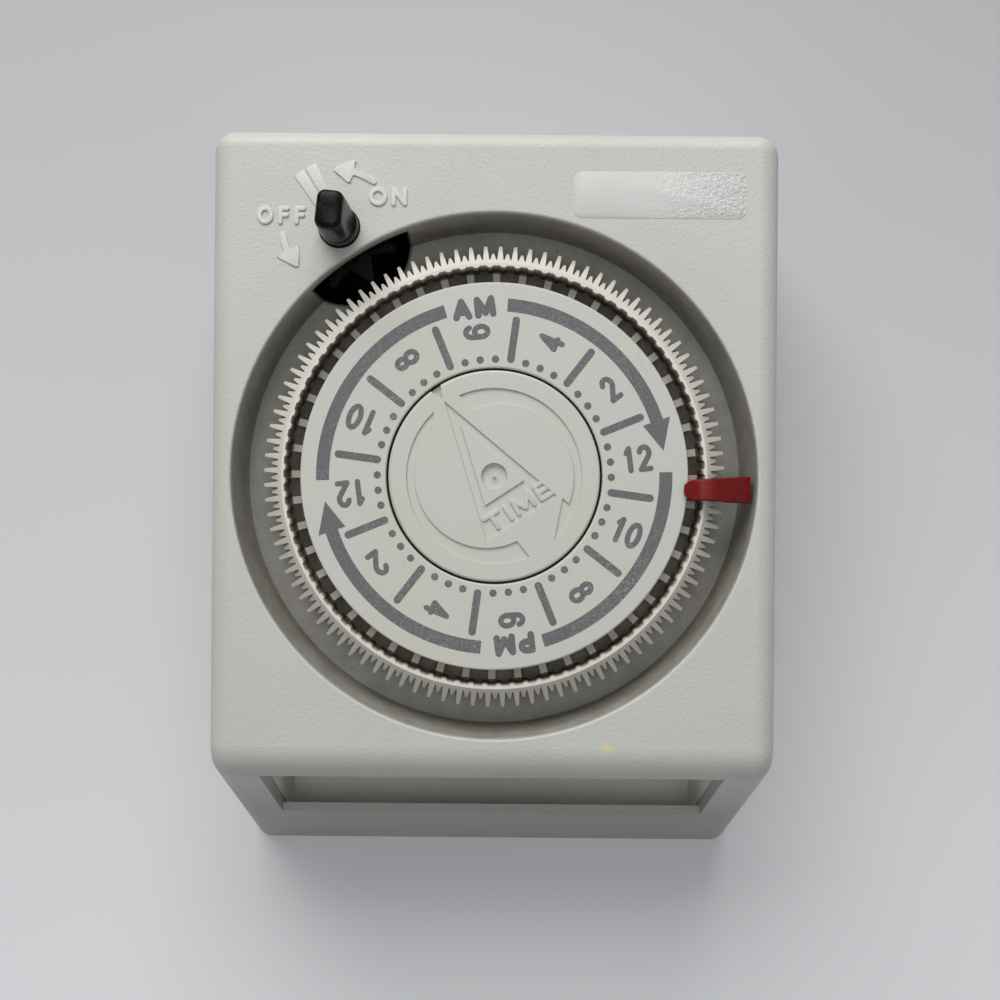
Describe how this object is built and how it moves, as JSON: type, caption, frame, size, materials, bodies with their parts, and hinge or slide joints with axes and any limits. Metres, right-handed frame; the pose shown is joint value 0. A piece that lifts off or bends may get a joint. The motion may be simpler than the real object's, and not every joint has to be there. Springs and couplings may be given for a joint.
{
  "type": "programmable timer",
  "caption": "Slant-footed mechanical day timer with a turning slotted dial, a push-in tripper, a manual knob and an outlet chamber behind its foot.",
  "frame": {"origin": "centre of the case's outline on the back plane, which lies on the table or against the wall", "axes": "+Z out of the face along the dial's axis, +Y towards the top of the face, +X to the right seen from the front"},
  "size_m": [0.0866, 0.118, 0.054],
  "materials": {
    "case_plastic": "fine grained warm grey-white moulded case",
    "dial_plastic": "ivory-grey moulded dial ring",
    "plate_plastic": "printed pale grey dial plate",
    "disc_plastic": "pale grey centre disc",
    "tripper_plastic": "dark red moulded tripper",
    "knob_plastic": "glossy black knob",
    "dark_plastic": "black moulded insulating plastic",
    "gear_plastic": "natural acetal gear",
    "steel": "zinc plated steel",
    "plated_plate": "yellow passivated steel sheet",
    "rotor_steel": "ferrite magnet rotor",
    "coil": "varnished copper winding",
    "brass": "spring brass",
    "lead_cover": "insulated lead"
  },
  "bodies": {
    "case": {"front_shell": "case_plastic", "back_cover": "case_plastic", "case_screws": "steel", "outlet_chamber": "case_plastic", "cord_gland": "dark_plastic", "outlet_block": "dark_plastic", "outlet_contact_line": "brass", "outlet_contact_neutral": "brass", "outlet_contact_earth": "brass", "centre_disc": "disc_plastic", "centre_post": "steel", "movement_plate": "plated_plate", "movement_screws": "steel", "idler_arbor": "steel", "motor_can": "plated_plate", "motor_flange": "plated_plate", "motor_screws": "steel", "motor_coil": "coil", "detent_spring": "steel", "switch_box": "dark_plastic", "lever_pin": "steel", "fixed_contact": "brass", "lead_supply": "lead_cover", "lead_neutral": "lead_cover", "lead_switched": "lead_cover"},
    "dial": {"dial_ring": "dial_plastic", "dial_plate": "plate_plastic", "dial_gear": "gear_plastic", "clutch_washer": "steel", "dial_clip": "steel"},
    "tripper": {"off_tripper": "tripper_plastic"},
    "idler": {"idler_gear": "gear_plastic"},
    "drive": {"drive_pinion": "brass"},
    "rotor": {"motor_rotor": "rotor_steel"},
    "knob_spindle": {"knob": "knob_plastic", "knob_shaft": "steel", "star_wheel": "dark_plastic", "switch_cam": "dark_plastic"},
    "contact_lever": {"switch_lever": "brass"}
  },
  "joints": [
    {"name": "dial_turn", "type": "hinge", "parent": "case", "child": "dial", "pos_m": [0, 0.0068, 0.036], "axis": [0, 0, -1], "continuous": true},
    {"name": "idler_turn", "type": "hinge", "parent": "case", "child": "idler", "pos_m": [0.02408, 0.02366, 0.022], "axis": [0, 0, -1], "continuous": true},
    {"name": "drive_turn", "type": "hinge", "parent": "case", "child": "drive", "pos_m": [0.00931, 0.02106, 0.022], "axis": [0, 0, -1], "continuous": true},
    {"name": "rotor_turn", "type": "hinge", "parent": "case", "child": "rotor", "pos_m": [0.001, 0.0155, 0.007], "axis": [0, 0, -1], "continuous": true},
    {"name": "knob_turn", "type": "hinge", "parent": "case", "child": "knob_spindle", "pos_m": [-0.02343, 0.0437, 0.04], "axis": [0, 0, 1], "continuous": true},
    {"name": "contact_close", "type": "hinge", "parent": "case", "child": "contact_lever", "pos_m": [-0.017, 0.0354, 0.011], "axis": [0, 0, -1], "range_deg": [0, 2.6]},
    {"name": "tripper_pull", "type": "slide", "parent": "dial", "child": "tripper", "axis": [0, 0, 1], "range_m": [0, 0.004]}
  ],
  "couplings": [
    {"joint": "idler_turn", "follows": "dial_turn", "ratio": -6},
    {"joint": "drive_turn", "follows": "dial_turn", "ratio": 24}
  ]
}
